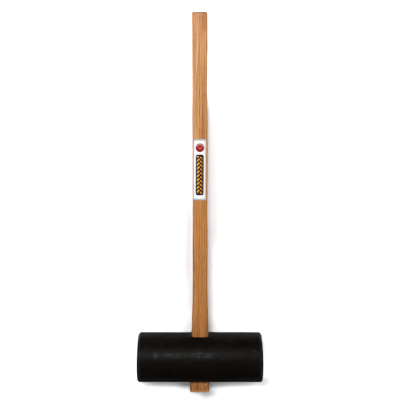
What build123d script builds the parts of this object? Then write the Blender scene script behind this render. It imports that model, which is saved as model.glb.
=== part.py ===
from build123d import *
import os

# Long-handled rubber paving maul, in millimetres.
# Origin: centre of the handle's lower end face. +Z runs up the handle to the
# grip end, +X runs along the head from end to end, -Y is the labelled front.

# ---- handle -----------------------------------------------------------------
HANDLE_LENGTH = 914.4        # 36 in
HANDLE_CORNER_RADIUS = 5.0   # long corners of the rectangular section
GRIP_END_CHAMFER = 1.0
BUTT_EDGE_RADIUS = 3.0       # rim of the flared lower end

# ---- head -------------------------------------------------------------------
HEAD_DIAMETER = 111.8
HEAD_LENGTH = 299.0
HEAD_EDGE_RADIUS = 6.0       # rounded rim at both strike faces
HEAD_CENTRE_Z = 79.4         # head axis above the handle's lower end
EYE_CLEARANCE = 0.1          # per side, all round the tapered eye
EYE_LIP_RADIUS = 1.2         # softened rim where the eye breaks through the head
EYE_LIP_EDGE_LIMIT = 40.0    # only edges shorter than this are softened

# ---- label ------------------------------------------------------------------
LABEL_WIDTH = 30.0
LABEL_CENTRE_X = -0.35       # slightly left of the middle, seen from the front
LABEL_BOTTOM_Z = 462.2
LABEL_TOP_Z = 608.3
LABEL_THICKNESS = 0.3
LABEL_CORNER_RADIUS = 1.2
# The block that cuts the label's outline runs forwards from inside the handle
# to clear of its front face.
LABEL_CUT_START = 8.0        # distance in front of the handle's XZ plane
LABEL_CUT_DEPTH = 12.0

# Handle stations: height above the lower end, width along X, depth along Y,
# and the section centre's X (the stick is slightly out of true). The lower
# 200 mm flares like a pick handle, so that the head, dropped on over the grip
# end, jams on the taper and can't fly off the bottom.
STATIONS = [
    (0.0, 47.4, 33.0, -1.0),
    (24.0, 46.8, 32.6, -0.8),
    (52.0, 45.2, 31.9, -0.55),
    (84.0, 43.0, 31.1, -0.25),
    (116.0, 40.8, 30.4, -0.05),
    (150.0, 39.55, 29.7, 0.05),
    (184.0, 38.8, 29.1, 0.1),
    (210.0, 36.8, 28.6, 0.1),
    (242.0, 35.8, 28.3, 0.0),
    (290.0, 35.9, 28.1, 0.05),
    (345.0, 36.3, 28.0, 0.2),
    (400.0, 35.88, 28.0, 0.07),
    (455.0, 35.73, 28.0, 0.05),
    (510.0, 36.08, 28.0, 0.18),
    (565.0, 36.51, 28.03, 0.27),
    (620.0, 36.85, 28.12, 0.16),
    (672.0, 36.8, 28.2, -0.25),
    (716.0, 36.38, 28.19, -0.74),
    (760.0, 36.62, 28.31, -0.71),
    (804.0, 37.17, 28.51, -0.53),
    (848.0, 37.53, 28.68, -0.58),
    (882.0, 37.85, 28.75, -0.68),
    (HANDLE_LENGTH, 38.2, 28.8, -0.8),
]


def handle_sections(grow=0.0):
    """Faces at the handle's stations, each side moved outwards by grow.

    The sketches stay out of the calling part; pass the faces to loft.
    """
    sections = []
    for height, width, depth, centre_x in STATIONS:
        with BuildSketch(Plane.XY.offset(height)) as section:
            with Locations((centre_x, 0)):
                RectangleRounded(
                    width + 2 * grow, depth + 2 * grow, HANDLE_CORNER_RADIUS + grow
                )
        sections.append(section.sketch.face())
    return sections


# ---- handle: one length of hardwood, rounded rectangular section ------------
with BuildPart() as handle:
    loft(handle_sections())
    chamfer(handle.faces().sort_by(Axis.Z)[-1].edges(), GRIP_END_CHAMFER)
    fillet(handle.faces().sort_by(Axis.Z)[0].edges(), BUTT_EDGE_RADIUS)

# ---- rubber head: solid cylinder with a tapered through eye -----------------
with BuildPart() as rubber_head:
    # half profile, turned about the head axis
    with BuildSketch(Plane.XY.offset(HEAD_CENTRE_Z)) as head_profile:
        with BuildLine():
            x_end = HEAD_LENGTH / 2
            radius = HEAD_DIAMETER / 2
            Polyline((-x_end, 0), (-x_end, radius), (x_end, radius), (x_end, 0), close=True)
        make_face()
        fillet(head_profile.vertices().group_by(Axis.Y)[-1], HEAD_EDGE_RADIUS)
    revolve(axis=Axis((0, 0, HEAD_CENTRE_Z), (1, 0, 0)), revolution_arc=360)
    # the eye follows the handle's flare
    loft(handle_sections(EYE_CLEARANCE), mode=Mode.SUBTRACT)
    # soften both mouths of the eye, where its walls meet the round surface
    round_surface = rubber_head.faces().filter_by(GeomType.CYLINDER).sort_by(SortBy.AREA)[-1]
    fillet(
        round_surface.edges().filter_by(
            lambda edge: edge.geom_type == GeomType.BSPLINE
            and edge.length < EYE_LIP_EDGE_LIMIT
        ),
        EYE_LIP_RADIUS,
    )

# ---- paper label: a thin skin over the handle's front face ------------------
with BuildPart() as handle_label:
    loft(handle_sections(LABEL_THICKNESS))
    with BuildSketch(Plane.XZ.offset(LABEL_CUT_START)):
        with Locations((LABEL_CENTRE_X, (LABEL_BOTTOM_Z + LABEL_TOP_Z) / 2)):
            RectangleRounded(LABEL_WIDTH, LABEL_TOP_Z - LABEL_BOTTOM_Z, LABEL_CORNER_RADIUS)
    extrude(amount=LABEL_CUT_DEPTH, mode=Mode.INTERSECT)
    loft(handle_sections(), mode=Mode.SUBTRACT)

# ---- one STEP file per piece ------------------------------------------------
os.makedirs("parts", exist_ok=True)
for name, part in (
    ("handle", handle.part),
    ("rubber_head", rubber_head.part),
    ("handle_label", handle_label.part),
):
    part.label = name
    export_step(part, f"parts/{name}.step")
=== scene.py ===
"""Looks for the rubber paving maul: a fine handle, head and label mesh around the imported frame."""
import math

import bpy
import numpy as np
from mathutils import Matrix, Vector


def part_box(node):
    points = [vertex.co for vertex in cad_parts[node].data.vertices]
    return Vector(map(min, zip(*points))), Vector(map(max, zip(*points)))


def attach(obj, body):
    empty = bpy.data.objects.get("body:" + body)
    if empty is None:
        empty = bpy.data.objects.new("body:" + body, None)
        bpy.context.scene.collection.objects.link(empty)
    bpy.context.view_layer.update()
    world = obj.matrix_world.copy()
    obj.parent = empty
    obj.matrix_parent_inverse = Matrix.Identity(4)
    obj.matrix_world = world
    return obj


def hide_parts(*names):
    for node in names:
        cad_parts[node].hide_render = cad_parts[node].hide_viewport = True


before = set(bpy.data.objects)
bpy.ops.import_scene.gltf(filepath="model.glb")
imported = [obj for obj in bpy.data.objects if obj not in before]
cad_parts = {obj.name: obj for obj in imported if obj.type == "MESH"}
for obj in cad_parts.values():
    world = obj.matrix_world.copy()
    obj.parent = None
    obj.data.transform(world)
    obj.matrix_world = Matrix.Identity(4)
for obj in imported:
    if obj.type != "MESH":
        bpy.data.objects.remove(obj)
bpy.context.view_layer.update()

MM = 0.001
HEAD_LO, HEAD_HI = (np.array(c) * 1000.0 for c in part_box("rubber_head"))
HANDLE_LO, HANDLE_HI = (np.array(c) * 1000.0 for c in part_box("handle"))
LABEL_LO, LABEL_HI = (np.array(c) * 1000.0 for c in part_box("handle_label"))

LENGTH = float(HANDLE_HI[2])                        # 914.4
HEAD_R = float(HEAD_HI[1] - HEAD_LO[1]) / 2.0       # 55.9
HEAD_HALF = float(HEAD_HI[0])                       # 149.5
HEAD_Z = float(HEAD_LO[2] + HEAD_HI[2]) / 2.0       # 79.4
RIM = 6.0                                           # rounded rim of the head
EYE_GAP = 0.1                                       # eye wall to handle, per side
ARRIS = 5.0
BUTT_EDGE = 3.0
GRIP_EDGE = 1.7

# height, width, depth and sideways set of the handle, as in the frame
STATIONS = np.array([
    (0.0, 47.4, 33.0, -1.0),
    (24.0, 46.8, 32.6, -0.8),
    (52.0, 45.2, 31.9, -0.55),
    (84.0, 43.0, 31.1, -0.25),
    (116.0, 40.8, 30.4, -0.05),
    (150.0, 39.55, 29.7, 0.05),
    (184.0, 38.8, 29.1, 0.1),
    (210.0, 36.8, 28.6, 0.1),
    (242.0, 35.8, 28.3, 0.0),
    (290.0, 35.9, 28.1, 0.05),
    (345.0, 36.3, 28.0, 0.2),
    (400.0, 35.88, 28.0, 0.07),
    (455.0, 35.73, 28.0, 0.05),
    (510.0, 36.08, 28.0, 0.18),
    (565.0, 36.51, 28.03, 0.27),
    (620.0, 36.85, 28.12, 0.16),
    (672.0, 36.8, 28.2, -0.25),
    (716.0, 36.38, 28.19, -0.74),
    (760.0, 36.62, 28.31, -0.71),
    (804.0, 37.17, 28.51, -0.53),
    (848.0, 37.53, 28.68, -0.58),
    (882.0, 37.85, 28.75, -0.68),
    (914.4, 38.2, 28.8, -0.8),
])


# ------------------------------------------------------------------ numbers
def cubic(xs, ys):
    """Natural cubic spline through the points, as a function of arrays."""
    xs, ys = np.asarray(xs, float), np.asarray(ys, float)
    n = len(xs)
    h = np.diff(xs)
    a = np.eye(n)
    r = np.zeros(n)
    for i in range(1, n - 1):
        a[i, i - 1], a[i, i], a[i, i + 1] = h[i - 1], 2 * (h[i - 1] + h[i]), h[i]
        r[i] = 6 * ((ys[i + 1] - ys[i]) / h[i] - (ys[i] - ys[i - 1]) / h[i - 1])
    m = np.linalg.solve(a, r)

    def f(x):
        x = np.asarray(x, float)
        i = np.clip(np.searchsorted(xs, x) - 1, 0, n - 2)
        d0, d1 = xs[i + 1] - x, x - xs[i]
        return (m[i] * d0**3 + m[i + 1] * d1**3) / (6 * h[i]) + (
            ys[i] / h[i] - m[i] * h[i] / 6
        ) * d0 + (ys[i + 1] / h[i] - m[i + 1] * h[i] / 6) * d1

    return f


half_w_at = cubic(STATIONS[:, 0], STATIONS[:, 1] / 2)
half_d_at = cubic(STATIONS[:, 0], STATIONS[:, 2] / 2)
set_at = cubic(STATIONS[:, 0], STATIONS[:, 3])


def smooth(lo, hi, x):
    t = np.clip((np.asarray(x, float) - lo) / (hi - lo), 0.0, 1.0)
    return t * t * (3 - 2 * t)


def lattice(ix, iy, iz, seed):
    """A repeatable value in -1..1 for each whole-number lattice point."""
    h = (ix * 374761393 + iy * 668265263 + iz * 2147483647 + seed * 1274126177) & 0xFFFFFFFF
    h = ((h ^ (h >> 13)) * 1274126177) & 0xFFFFFFFF
    h = ((h ^ (h >> 16)) * 2246822519) & 0xFFFFFFFF
    h = h ^ (h >> 15)
    return (h & 0xFFFFFF) / float(0xFFFFFF) * 2.0 - 1.0


def noise(p, scale, seed=0):
    """Smooth value noise in -1..1; scale is the feature size per axis, in mm."""
    q = np.asarray(p, float) / np.asarray(scale, float)
    i = np.floor(q).astype(np.int64)
    f = q - i
    f = f * f * f * (f * (f * 6 - 15) + 10)
    out = np.zeros(len(q))
    for dx in (0, 1):
        for dy in (0, 1):
            for dz in (0, 1):
                w = (
                    (f[:, 0] if dx else 1 - f[:, 0])
                    * (f[:, 1] if dy else 1 - f[:, 1])
                    * (f[:, 2] if dz else 1 - f[:, 2])
                )
                out += w * lattice(i[:, 0] + dx, i[:, 1] + dy, i[:, 2] + dz, seed)
    return out


def fractal(p, scale, seed=0, octaves=3, gain=0.5):
    out, amp, s = np.zeros(len(p)), 1.0, np.asarray(scale, float)
    for k in range(octaves):
        out += amp * noise(p, s, seed + 17 * k)
        amp *= gain
        s = s / 2.03
    return out


def make_mesh(name, verts_mm, faces, smooth_shade=True):
    mesh = bpy.data.meshes.new(name)
    mesh.from_pydata([tuple(v) for v in np.asarray(verts_mm) * MM], [], faces)
    mesh.validate(clean_customdata=False)
    mesh.update()
    if smooth_shade:
        mesh.polygons.foreach_set("use_smooth", [True] * len(mesh.polygons))
    obj = bpy.data.objects.new(name, mesh)
    bpy.context.scene.collection.objects.link(obj)
    return obj


def face_out(obj):
    """Make every face of a closed mesh point outwards."""
    import bmesh

    bm = bmesh.new()
    bm.from_mesh(obj.data)
    bmesh.ops.recalc_face_normals(bm, faces=bm.faces)
    volume = bm.calc_volume(signed=True)
    if volume < 0:
        bmesh.ops.reverse_faces(bm, faces=bm.faces)
    bm.to_mesh(obj.data)
    bm.free()


# ------------------------------------------------------------------ handle
FLAT_X, FLAT_Y, CORNER = 30, 20, 8      # segments on each flat and corner


def section(hw, hd, r):
    """A closed rounded rectangle, and its outward directions, from the middle of +X."""
    pts, nrm = [], []
    ix, iy = hw - r, hd - r

    def flat(x0, y0, x1, y1, n, nx, ny):
        for k in range(n):
            t = k / n
            pts.append((x0 + (x1 - x0) * t, y0 + (y1 - y0) * t))
            nrm.append((nx, ny))

    def corner(cx, cy, a0):
        for k in range(CORNER):
            a = a0 + (math.pi / 2) * k / CORNER
            pts.append((cx + r * math.cos(a), cy + r * math.sin(a)))
            nrm.append((math.cos(a), math.sin(a)))

    flat(hw, -iy, hw, iy, FLAT_Y, 1, 0)
    corner(ix, iy, 0)
    flat(ix, hd, -ix, hd, FLAT_X, 0, 1)
    corner(-ix, iy, math.pi / 2)
    flat(-hw, iy, -hw, -iy, FLAT_Y, -1, 0)
    corner(-ix, -iy, math.pi)
    flat(-ix, -hd, ix, -hd, FLAT_X, 0, -1)
    corner(ix, -iy, 1.5 * math.pi)
    return np.array(pts), np.array(nrm)


def sunk(p, centre, radii, depth):
    """Depth of a small rounded dent at each point."""
    d = (p - np.array(centre)) / np.array(radii)
    r2 = (d**2).sum(1)
    return depth * np.exp(-2.2 * r2)


HANDLE_DENTS = [
    # centre, radii, depth
    ((-16.5, -12.2, 742.0), (2.4, 2.4, 4.2), 0.55),
    ((16.9, -12.4, 655.0), (2.2, 2.2, 3.0), 0.45),
    ((-15.9, -12.0, 398.0), (2.2, 2.4, 5.4), 0.5),
    ((15.8, -12.4, 301.0), (2.0, 2.0, 3.4), 0.55),
    ((4.0, -14.2, 252.0), (2.6, 1.6, 3.6), 0.28),
    ((-8.0, -14.2, 348.0), (1.8, 1.6, 2.2), 0.22),
    ((9.0, -14.4, 806.0), (1.8, 1.6, 2.6), 0.22),
    ((-17.5, 4.0, 560.0), (1.6, 3.0, 4.0), 0.3),
    ((17.6, -3.0, 470.0), (1.6, 2.4, 3.4), 0.3),
    ((17.0, 12.0, 360.0), (2.6, 2.6, 4.6), 0.55),
    ((-16.2, 12.3, 250.0), (2.6, 2.6, 4.0), 0.5),
    ((-3.0, 14.3, 610.0), (2.6, 1.6, 3.6), 0.3),
    ((18.2, 12.4, 908.0), (3.0, 3.0, 3.4), 0.6),
    ((-18.8, -12.8, 909.0), (2.0, 2.0, 2.2), 0.15),
    ((10.0, -15.0, 911.0), (3.6, 2.0, 2.2), 0.2),
    ((22.0, -14.5, 5.0), (3.4, 3.0, 3.0), 0.8),
    ((-21.8, -15.2, 3.0), (3.0, 3.0, 3.0), 0.7),
    ((6.0, -16.6, 1.0), (4.0, 2.6, 2.2), 0.5),
    ((-9.0, -16.6, 1.6), (3.0, 2.6, 2.0), 0.35),
]


def build_handle():
    a = np.radians(np.linspace(0, 90, 7))
    rows = [(BUTT_EDGE * (1 - math.cos(t)), BUTT_EDGE * (1 - math.sin(t))) for t in a]
    body = np.linspace(BUTT_EDGE, LENGTH - 1.9, int(round((LENGTH - 4.6) / 2.0)))[1:]
    rows += [(z, 0.0) for z in body]
    rows += [(LENGTH - 1.15, 0.10), (LENGTH - 0.75, 0.34), (LENGTH - 0.4, 0.66),
             (LENGTH - 0.10, 0.66), (LENGTH, 0.92)]
    z = np.array([r[0] for r in rows])
    inset = np.array([r[1] for r in rows])
    hw, hd, off = half_w_at(z), half_d_at(z), set_at(z)
    verts, norms = [], []
    # the arrises are softer in the hands' reach and crisper low down
    zz = np.stack([z * 0, z * 0, z], 1)
    soft = ARRIS + 0.35 * noise(zz, (1, 1, 90), 5) + 0.5 * smooth(600, 860, z)
    for k in range(len(z)):
        p, n = section(hw[k] - inset[k], hd[k] - inset[k], max(soft[k] - inset[k], 1.2))
        p[:, 0] += off[k]
        verts.append(np.column_stack([p, np.full(len(p), z[k])]))
        norms.append(np.column_stack([n, np.zeros(len(n))]))
    ring = len(verts[0])
    v, n = np.concatenate(verts), np.concatenate(norms)
    # in the eye the wood keeps its exact taper, and it is free above and below
    free = smooth(143, 165, v[:, 2]) + smooth(16, 8, v[:, 2])
    free = np.clip(free, 0.0, 1.0)
    ends = np.clip(np.minimum(v[:, 2], LENGTH - v[:, 2]) / 3.0, 0.25, 1.0)
    wave = 0.20 * noise(v, (60, 60, 130), 11) + 0.10 * noise(v, (14, 14, 60), 12)
    grain = 0.045 * noise(v, (2.3, 2.3, 60), 13) + 0.03 * noise(v, (1.25, 1.25, 26), 14)
    d = (wave + grain) * free * ends - 0.12 * free
    for centre, radii, depth in HANDLE_DENTS:
        d -= sunk(v, centre, radii, depth)
    # a shallow scratch across the front near the grip
    t = np.clip(((v[:, 0] + 5.4) * 13.0 + (v[:, 2] - 858.2) * 7.4) / (13.0**2 + 7.4**2), 0, 1)
    far = np.hypot(v[:, 0] - (-5.4 + 13.0 * t), v[:, 2] - (858.2 + 7.4 * t))
    d -= 0.16 * np.exp(-((far / 0.8) ** 2)) * (v[:, 1] < -10)
    v = v + n * d[:, None]
    faces = []
    rows_n = len(z)
    for k in range(rows_n - 1):
        b0, b1 = k * ring, (k + 1) * ring
        for i in range(ring):
            j = (i + 1) % ring
            faces.append((b0 + i, b0 + j, b1 + j, b1 + i))

    # sawn ends: rings that shrink onto a short line, then a closed middle
    def cap(base, z_end, up, seed):
        nonlocal v
        edge = v[base:base + ring].copy()
        mid_x = float(set_at(z_end))
        prev = base
        steps = (0.93, 0.84, 0.74, 0.63, 0.52, 0.41, 0.30, 0.19, 0.09)
        for s in steps:
            pts = edge.copy()
            pts[:, 0] = mid_x + (pts[:, 0] - mid_x) * s
            pts[:, 1] *= s
            dz = 0.10 * noise(pts, (2.6, 1.4, 9), seed) + 0.06 * noise(pts, (26, 1.1, 9), seed + 1)
            pts[:, 2] = z_end + dz * (1 if up else -1) - (0.10 if up else -0.10)
            start = len(v)
            v = np.concatenate([v, pts])
            for i in range(ring):
                j = (i + 1) % ring
                quad = (prev + i, prev + j, start + j, start + i)
                faces.append(quad if up else quad[::-1])
            prev = start
        mid = len(v)
        v = np.concatenate([v, [[mid_x, 0.0, z_end]]])
        for i in range(ring):
            j = (i + 1) % ring
            faces.append((prev + i, prev + j, mid) if up else (prev + j, prev + i, mid))

    cap((rows_n - 1) * ring, LENGTH, True, 21)
    cap(0, 0.0, False, 31)
    v[:, 2] = np.clip(v[:, 2], 0.0, LENGTH)
    obj = make_mesh("maul_handle", v, faces)
    face_out(obj)
    return obj


# ------------------------------------------------------------------ head
def ray_to_section(cx, sx, hw, hd, r):
    """Where rays from the middle, with directions (cx, sx), meet a rounded rectangle."""
    ix, iy = hw - r, hd - r
    ax, ay = np.abs(cx), np.abs(sx)
    t_x = hw / np.maximum(ax, 1e-9)
    t_y = hd / np.maximum(ay, 1e-9)
    t = np.where(t_x * ay <= iy, t_x, np.where(t_y * ax <= ix, t_y, 0.0))
    need = t == 0.0
    b = ax * ix + ay * iy
    c = ix**2 + iy**2 - r**2
    t_c = b + np.sqrt(np.maximum(b * b - c, 0.0))
    t = np.where(need, t_c, t)
    return cx * t, sx * t


PATCH = 34.0                    # half size of the square round each mouth, mm
N_SIDE, N_ZONE, N_LEN = 40, 64, 62


HEAD_NICKS = [
    # centre (x, y, z from the head axis), radii, depth
    ((-147.0, -38.0, 37.0), (3.0, 4.0, 4.0), 0.9),
    ((147.0, -50.0, 16.0), (2.6, 3.0, 4.4), 0.8),
    ((147.0, -30.0, -43.0), (3.0, 4.0, 4.0), 1.0),
    ((-147.2, -52.0, -12.0), (2.6, 2.6, 3.6), 0.7),
    ((-147.2, 20.0, 48.0), (3.0, 4.4, 3.0), 0.8),
    ((147.0, 44.0, 28.0), (3.0, 4.0, 4.0), 0.9),
    ((-147.0, 40.0, -34.0), (3.0, 4.0, 4.0), 0.9),
    ((128.0, -52.0, 22.0), (1.5, 1.5, 1.5), 0.35),
    ((-96.0, -50.0, 24.0), (7.0, 3.0, 3.5), 0.22),
    ((-88.0, -46.0, 31.0), (4.0, 2.0, 2.2), 0.2),
    ((70.0, -55.0, -8.0), (11.0, 2.0, 1.4), 0.22),
    ((40.0, -49.0, 26.0), (5.0, 2.0, 2.0), 0.18),
    ((-40.0, -53.0, 17.0), (8.0, 2.0, 2.6), 0.16),
    ((60.0, 54.0, 12.0), (7.0, 3.0, 3.0), 0.3),
    ((-70.0, 50.0, -24.0), (5.0, 3.0, 3.0), 0.3),
]


def head_surface(x, s):
    """Point and outward direction on the round surface. s is the arc from the top towards the front."""
    th = s / HEAD_R
    n = np.stack([np.zeros_like(th), -np.sin(th), np.cos(th)], -1)
    p = n * HEAD_R
    p[..., 0] = x
    p[..., 2] += HEAD_Z
    return p, n


def build_head():
    circ = 2 * math.pi * HEAD_R
    verts, norms, faces = [], [], []
    tags = []           # distance from the mouth's edge, for the lip

    def add(p, n, tag):
        start = sum(len(a) for a in verts)
        verts.append(p)
        norms.append(n)
        tags.append(tag)
        return start

    # arc stations: top patch, front zone, bottom patch, back zone
    s = np.concatenate([
        np.linspace(-PATCH, PATCH, N_SIDE + 1)[:-1],
        np.linspace(PATCH, circ / 2 - PATCH, N_ZONE + 1)[:-1],
        np.linspace(circ / 2 - PATCH, circ / 2 + PATCH, N_SIDE + 1)[:-1],
        np.linspace(circ / 2 + PATCH, circ - PATCH, N_ZONE + 1)[:-1],
    ])
    around = len(s)
    x_in = np.linspace(-PATCH, PATCH, N_SIDE + 1)
    flat_end = HEAD_HALF - RIM
    x_out = np.linspace(PATCH, flat_end, N_LEN + 1)[1:]
    x = np.concatenate([-x_out[::-1], x_in, x_out])
    gx, gs = np.meshgrid(x, s, indexing="ij")
    p, n = head_surface(gx.ravel(), gs.ravel())
    add(p, n, np.full(len(p), 99.0))
    nx = len(x)
    i_lo, i_hi = N_LEN, N_LEN + N_SIDE      # columns of the patches along x
    bands = {"top": (0, N_SIDE), "bottom": (N_SIDE + N_ZONE, 2 * N_SIDE + N_ZONE)}

    def at(i, j):
        return i * around + j % around

    for i in range(nx - 1):
        for j in range(around):
            if i_lo <= i < i_hi and any(lo <= j < hi for lo, hi in bands.values()):
                continue
            faces.append((at(i, j), at(i, j + 1), at(i + 1, j + 1), at(i + 1, j)))

    # an O-shaped patch round each mouth of the eye
    loops = {}
    for name, (lo, hi) in bands.items():
        mid = 0.0 if name == "top" else circ / 2
        border = (
            [(i, lo) for i in range(i_lo, i_hi)]
            + [(i_hi, j) for j in range(lo, hi)]
            + [(i, hi) for i in range(i_hi, i_lo, -1)]
            + [(i_lo, j) for j in range(hi, lo, -1)]
        )
        outer = np.array([at(i, j) for i, j in border])
        ox = np.array([x[i] for i, _ in border])
        os_ = np.array([
            (-PATCH + 2 * PATCH * (j - lo) / N_SIDE) for _, j in border
        ])
        # direction in plan: x, and y (towards the back is +)
        sign = -1.0 if name == "top" else 1.0
        oy = sign * os_
        mid_eye = float(set_at(HEAD_Z + (HEAD_R if name == "top" else -HEAD_R)))
        length = np.hypot(ox - mid_eye, oy)
        dx, dy = (ox - mid_eye) / length, oy / length
        # the mouth lies on the round surface: refine its height twice
        z = np.full(len(ox), HEAD_Z + (HEAD_R if name == "top" else -HEAD_R))
        for _ in range(4):
            ex, ey = ray_to_section(dx, dy, half_w_at(z) + EYE_GAP, half_d_at(z) + EYE_GAP, ARRIS + EYE_GAP)
            ex = ex + set_at(z)
            drop = np.sqrt(HEAD_R**2 - ey**2)
            z = HEAD_Z + (drop if name == "top" else -drop)
        es = sign * HEAD_R * np.arcsin(ey / HEAD_R)
        gap = np.hypot(ox - ex, os_ - es)
        # rings from the mouth outwards, close together on the lip
        dist = [0.0, 0.35, 0.75, 1.2, 1.8, 2.6, 3.6, 4.8, 6.2, 7.8, 9.6]
        rings = []
        count = len(ox)
        for dd in dist:
            t = np.minimum(dd / gap, 0.92)
            px, ps = ex + (ox - ex) * t, es + (os_ - es) * t
            pp, nn = head_surface(px, ps + mid)
            rings.append(add(pp, nn, np.full(count, dd)))
        for k in range(len(rings) - 1):
            for i in range(count):
                j = (i + 1) % count
                faces.append((rings[k] + i, rings[k] + j, rings[k + 1] + j, rings[k + 1] + i))
        last = rings[-1]
        for i in range(count):
            j = (i + 1) % count
            faces.append((last + i, last + j, int(outer[j]), int(outer[i])))
        loops[name] = (rings[0], dx, dy, count)

    # eye walls: match the two mouths by their direction in plan
    r_top, dxt, dyt, count = loops["top"]
    r_bot, dxb, dyb, _ = loops["bottom"]
    angle_t = np.arctan2(dyt, dxt)
    angle_b = np.arctan2(dyb, dxb)
    order = np.array([int(np.argmin(np.abs(np.angle(np.exp(1j * (angle_b - a)))))) for a in angle_t])
    all_v = np.concatenate(verts)
    top_z = all_v[r_top:r_top + count, 2]
    bot_z = all_v[r_bot + order, 2]
    prev = np.arange(count) + r_top
    steps = np.concatenate([[0.012, 0.03, 0.06], np.linspace(0.1, 0.9, 30), [0.94, 0.97, 0.988]])
    for f in steps:
        zz = top_z + (bot_z - top_z) * f
        zz = zz - 1.1 * (1 - f) * (1 if True else 0) + 1.1 * f
        ex, ey = ray_to_section(dxt, dyt, half_w_at(zz) + EYE_GAP, half_d_at(zz) + EYE_GAP, ARRIS + EYE_GAP)
        pts = np.column_stack([ex + set_at(zz), ey, zz])
        start = add(pts, np.zeros_like(pts), np.full(count, -1.0))
        cur = np.arange(count) + start
        for i in range(count):
            j = (i + 1) % count
            faces.append((int(prev[i]), int(prev[j]), int(cur[j]), int(cur[i])))
        prev = cur
    for i in range(count):
        j = (i + 1) % count
        faces.append((int(prev[i]), int(prev[j]), int(r_bot + order[j]), int(r_bot + order[i])))

    # rounded rims and flat strike faces
    for side in (-1, 1):
        base = np.arange(around) + (0 if side < 0 else (nx - 1) * around)
        prev = base
        th = s / HEAD_R
        ca = np.stack([np.zeros_like(th), -np.sin(th), np.cos(th)], -1)
        for a in np.radians(np.linspace(0, 90, 9))[1:]:
            rr = HEAD_R - RIM + RIM * math.cos(a)
            xx = side * (flat_end + RIM * math.sin(a))
            pts = ca * rr
            pts[:, 0] = xx
            pts[:, 2] += HEAD_Z
            nn = ca * math.cos(a)
            nn[:, 0] = side * math.sin(a)
            start = add(pts, nn, np.full(around, 99.0))
            cur = np.arange(around) + start
            for i in range(around):
                j = (i + 1) % around
                faces.append((int(prev[i]), int(prev[j]), int(cur[j]), int(cur[i])))
            prev = cur
        for rr in np.linspace(HEAD_R - RIM, 0, 27)[1:-1]:
            pts = ca * rr
            pts[:, 0] = side * HEAD_HALF
            pts[:, 2] += HEAD_Z
            nn = np.tile([float(side), 0.0, 0.0], (around, 1))
            start = add(pts, nn, np.full(around, 99.0))
            cur = np.arange(around) + start
            for i in range(around):
                j = (i + 1) % around
                faces.append((int(prev[i]), int(prev[j]), int(cur[j]), int(cur[i])))
            prev = cur
        start = add(np.array([[side * HEAD_HALF, 0.0, HEAD_Z]]), np.array([[float(side), 0.0, 0.0]]), np.array([99.0]))
        for i in range(around):
            j = (i + 1) % around
            faces.append((int(prev[i]), int(prev[j]), start))

    v, nrm, tag = np.concatenate(verts), np.concatenate(norms), np.concatenate(tags)
    outside = tag >= 0
    d = np.zeros(len(v))
    # cast rubber is never a perfect roller: long swells, then a fine uneven skin
    d += 0.28 * noise(v, (70, 45, 45), 41) + 0.10 * noise(v, (16, 14, 14), 42)
    d += 0.035 * noise(v, (4.2, 4.2, 4.2), 43)
    d -= 0.22
    # strike faces: a trace of mushrooming from use
    d += 0.25 * smooth(134, 147, np.abs(v[:, 0])) * smooth(0.2, 0.9, np.abs(noise(v, (60, 40, 40), 44)))
    for centre, radii, depth in HEAD_NICKS:
        d -= sunk(v - np.array([0, 0, HEAD_Z]), centre, radii, depth)
    # lip: the rounded mouth, squeezed up a little by the jammed handle, its skin slightly ragged
    lip = (tag >= 0) & (tag < 12)
    t = tag[lip]
    lv = v[lip]
    edge = np.where(t < 1.2, -(1.2 - np.sqrt(np.maximum(1.44 - (1.2 - t) ** 2, 0.0))), 0.0)
    scallop = 0.95 * noise(lv, (4.6, 4.6, 60), 45) + 0.40 * noise(lv, (2.0, 2.0, 60), 46)
    swell = 0.75 * np.exp(-((t - 2.0) ** 2) / (2 * 2.0**2))
    d[lip] += edge + swell
    v = v + nrm * (d * outside)[:, None]
    # the skin round the mouth rises and dips along the wood, straight up and down
    v[lip, 2] += scallop * np.exp(-t / 2.2) * np.where(lv[:, 2] > HEAD_Z, 1.0, -1.0)
    v[:, 0] = np.clip(v[:, 0], -HEAD_HALF, HEAD_HALF)
    obj = make_mesh("maul_head", v, faces)
    face_out(obj)
    return obj


# ------------------------------------------------------------------ label
LABEL_TILT = math.radians(0.3)


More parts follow.
